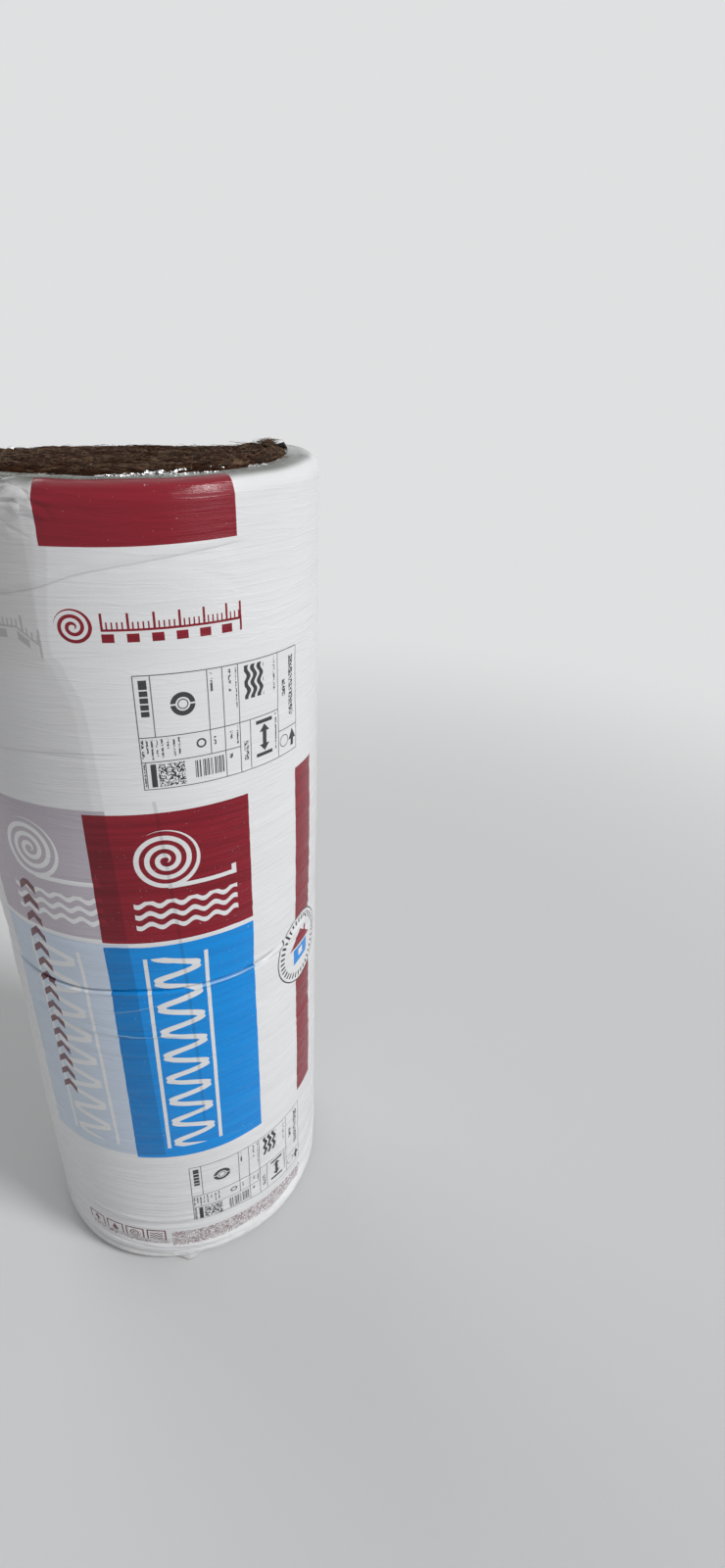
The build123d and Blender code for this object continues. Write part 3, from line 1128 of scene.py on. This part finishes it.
# Brown glass wool: painted shade, nearly black, between the fibres, and a painted tan highlight where they
# catch the light, streaked along the turns and dull.
def woolMaterial():
    tree = Tree(bpy.data.materials.new("glassWool"))
    flat = tree.flatPlace()
    place = tree.place()
    streaks = flat.noise((170.0, 760.0, 1), 6.0, 0.68)
    fine = flat.noise((700.0, 3200.0, 1), 3.0, 0.6)
    clumps = place.noise((55.0, 55.0, 55.0), 4.0, 0.6)
    knots = place.noise((170.0, 170.0, 170.0), 3.0, 0.6)
    tone = streaks * 0.36 + clumps * 0.27 + knots * 0.27 + fine * 0.22
    colour = tree.add("ValToRGB", {"stops": woolTones}, [tone])
    height = streaks * 0.5 + knots * 0.4 + fine * 0.35 + clumps * 0.3
    inputs = {"Base Color": colour, "Roughness": 0.96, "Specular IOR Level": 0.05}
    return tree.surface(height, 1.0, 0.003, inputs)


# From dark to bright
fibreTones = ((0.050, 0.028, 0.017), (0.29, 0.18, 0.105))
# the foil's dark tone is a painted dark reflection
foilTones = ((0.10, 0.10, 0.10), (0.86, 0.86, 0.85))


def fibreMaterial():
    tree = Tree(bpy.data.materials.new("looseFibres"))
    tone = tree.place().noise((90.0, 90.0, 90.0))
    colour = tree.mix(*fibreTones, tone.ramped(0.40, 0.68))
    inputs = {"Base Color": colour, "Roughness": 0.8, "Specular IOR Level": 0.3}
    return tree.surface(tone, 0.2, 0.0005, inputs)


# Bright aluminium foil: fine creases from the distance to cell borders, and duller patches, with painted
# dark reflection in the creases and in patches.
def foilMaterial():
    tree = Tree(bpy.data.materials.new("aluminiumFoil"))
    place = tree.place()
    creased = place.creased(240.0)
    soft = place.noise((120.0, 120.0, 120.0))
    # Painted dark reflection in the creases and in patches, bright foil between
    colour = tree.mix(*foilTones, (soft + creased * 1.2).ramped(0.50, 0.80))
    inputs = {"Base Color": colour, "Metallic": 1.0, "Roughness": soft * 0.20 + 0.10}
    return tree.surface(creased * 1.4 + soft * 0.5, 0.6, 0.001, inputs)


print("making the materials")
woolFinish = woolMaterial()
foilFinish = foilMaterial()
for piece, finish, slot, node in (
    (filmWrap, filmMaterial(), "film", "film_wrap"),
    (woolUpper, woolFinish, "glass_wool", "wool_roll_upper"),
    (woolLower, woolFinish, "glass_wool", "wool_roll_lower"),
    (foilUpper, foilFinish, "foil", "foil_facing_upper"),
    (foilLower, foilFinish, "foil", "foil_facing_lower"),
    (woolFibresUpper, fibreMaterial(), "glass_wool", None),
):
    piece.data.materials.append(finish)
    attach(piece, "root")
    if node:
        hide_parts(node)

studio = {
    "floor": (0.58, 0.585, 0.59),
    "floorRadii": (0.001, 1000.0, 30000.0),
    "backdrop": (0.74, 0.745, 0.75),
    "sky": 0.42,
    "fade": (1.1, 3.6),  # from floor to backdrop, in metres from the middle
    # Strength, spread in degrees, and where it shines from
    "sun": (1.95, 14.0, (1.30, -1.12, 1.42)),
    "fill": (0.55, 40.0, (-0.5, 1.3, 1.1)),
    "side": (0.55, 34.0, (1.0, -1.1, 0.12)),
}

# Where the photographer stood, with the yaw to the right, the pitch down and a slight lean
camera = {
    "place": (-0.037, -0.956, 1.269),
    "yaw": 20.1,
    "pitch": 27.95,
    "lean": 2.47,
    "lens": 16.6725,
    "near": 0.01,
    "far": 100.0,
}


# A wide disc that fades into the backdrop's colour far from the roll.
def buildFloor():
    points = ringPoints(ringAngles(96), np.array(studio["floorRadii"])[:, None], 0.0)
    floor = gridMesh("floor", points, shell=False, flip=True)
    tree = Tree(bpy.data.materials.new("floor"))
    share = tree.place().vector("LENGTH", output=1).ramped(*studio["fade"]) * tree.seen()
    matte = {"Base Color": studio["floor"], "Roughness": 0.85}
    matte = tree.add("BsdfPrincipled", {}, matte)
    glow = tree.add("Emission", {}, [studio["backdrop"], 1.0])
    both = tree.add("MixShader", {}, [share, matte, glow])
    tree.add("OutputMaterial", {}, {"Surface": both})
    floor.data.materials.append(tree.owner)


# Even soft light; the camera and reflections see the pale backdrop.
def buildWorld():
    bpy.context.scene.world = bpy.data.worlds.new("studio")
    tree = Tree(bpy.context.scene.world)
    sky = tree.add("Background", {}, [(1, 1, 1), studio["sky"]])
    backdrop = tree.add("Background", {}, [studio["backdrop"], 1.0])
    both = tree.add("MixShader", {}, [tree.seen(), sky, backdrop])
    tree.add("OutputWorld", {}, {"Surface": both})


def buildLamp(name):
    energy, spread, shinesFrom = studio[name]
    data = bpy.data.lights.new(name, "SUN")
    data.energy = energy
    data.angle = math.radians(spread)
    linked(name, data).rotation_euler = Vector(shinesFrom).to_track_quat("Z", "Y").to_euler()


# A camera looks straight down at first: it is leaned about its view, lifted to the pitch, turned by the
# yaw and moved to its place.
def buildCamera():
    yaw, pitch, lean = (math.radians(camera[turn]) for turn in ("yaw", "pitch", "lean"))
    data = bpy.data.cameras.new("camera")
    data.lens = camera["lens"]
    data.clip_start = camera["near"]
    data.clip_end = camera["far"]
    lifted = Matrix.Rotation(math.pi / 2 - pitch, 4, "X") @ Matrix.Rotation(lean, 4, "Z")
    eye = linked("camera", data)
    eye.matrix_world = Matrix.Translation(camera["place"]) @ Matrix.Rotation(-yaw, 4, "Z") @ lifted
    bpy.context.scene.camera = eye


print("setting the stage")
buildFloor()
buildWorld()
for name in ("sun", "fill", "side"):
    buildLamp(name)
buildCamera()
bpy.context.scene.view_settings.view_transform = "Standard"
